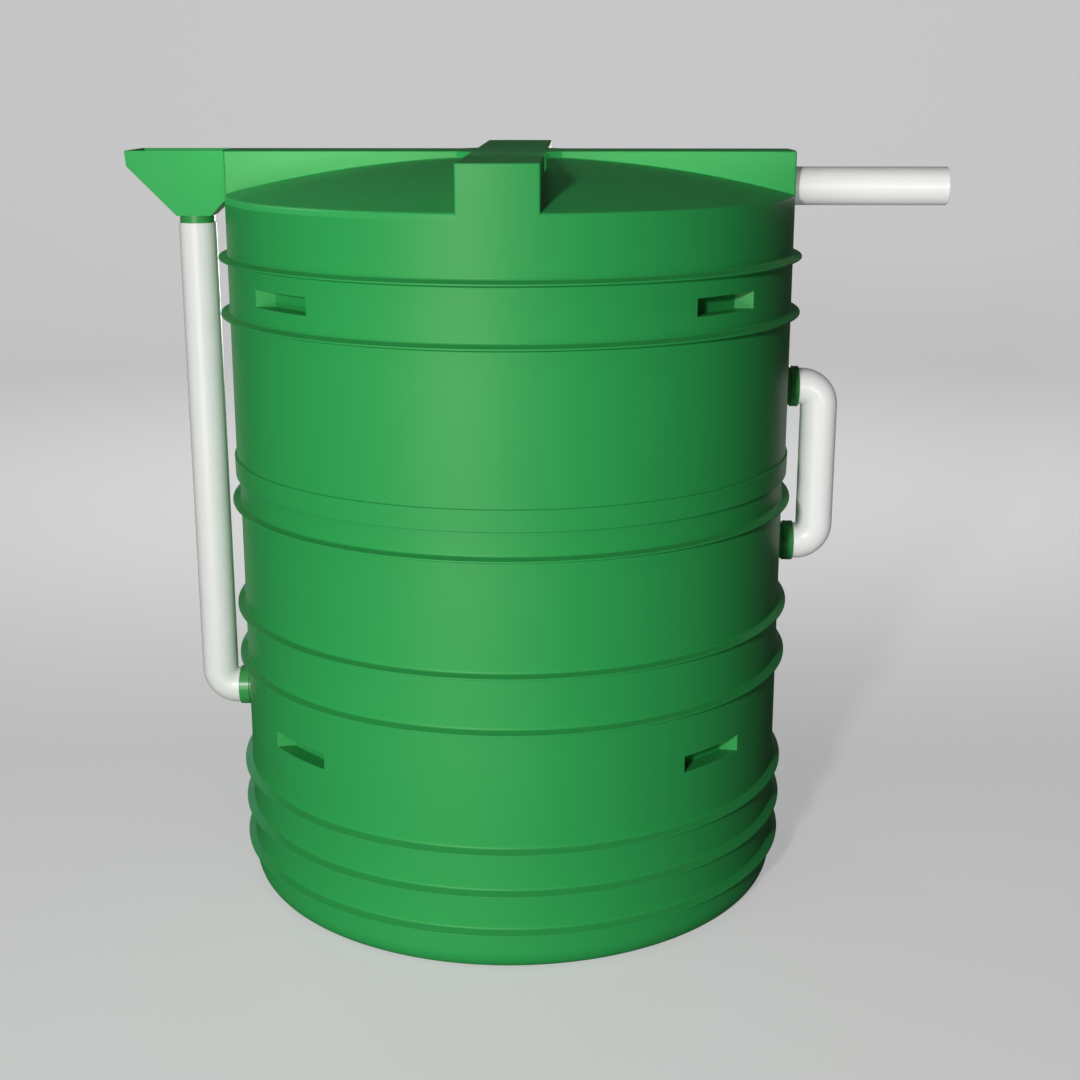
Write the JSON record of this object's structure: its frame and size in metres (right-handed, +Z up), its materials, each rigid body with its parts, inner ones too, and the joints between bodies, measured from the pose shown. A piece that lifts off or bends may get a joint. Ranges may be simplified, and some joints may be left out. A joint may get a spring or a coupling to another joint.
{
  "type": "household biogas digester",
  "caption": "Closed plastic tank with ring ribs, a domed roof with a cross ridge, grip pockets, a feed hopper with its inlet pipe, an outlet pipe and a side pipe loop.",
  "frame": {"origin": "on the floor, on the tank's axis", "axes": "+Z up, -Y towards the viewer, +X towards the outlet pipe, -X towards the hopper"},
  "size_m": [2.3734, 1.7014, 2.2],
  "materials": {
    "green_tank": "moulded polyethylene, satin",
    "green_fitting": "moulded plastic, satin",
    "white_pipe": "plain plastic pipe"
  },
  "bodies": {
    "root": {"cross_ridge": "green_tank", "grip_pocket_lower_1": "green_tank", "grip_pocket_lower_2": "green_tank", "grip_pocket_lower_3": "green_tank", "grip_pocket_lower_4": "green_tank", "grip_pocket_upper_1": "green_tank", "grip_pocket_upper_2": "green_tank", "grip_pocket_upper_3": "green_tank", "grip_pocket_upper_4": "green_tank", "hopper": "green_tank", "hopper_neck": "green_fitting", "inlet_collar": "green_fitting", "inlet_elbow": "white_pipe", "inlet_pipe_lower": "white_pipe", "inlet_pipe_middle": "white_pipe", "inlet_pipe_upper": "white_pipe", "lap_belt": "green_tank", "loop_lower_collar": "green_fitting", "loop_lower_elbow": "white_pipe", "loop_pipe": "white_pipe", "loop_upper_collar": "green_fitting", "loop_upper_elbow": "white_pipe", "lower_wall": "green_tank", "outlet_neck": "green_fitting", "outlet_pipe": "white_pipe", "ring_rib_1": "green_tank", "ring_rib_2": "green_tank", "ring_rib_3": "green_tank", "ring_rib_4": "green_tank", "ring_rib_5": "green_tank", "ring_rib_6": "green_tank", "ring_rib_7": "green_tank", "ring_rib_8": "green_tank", "roof_dome": "green_tank", "tank_floor": "green_tank", "upper_wall": "green_tank"}
  },
  "joints": []
}
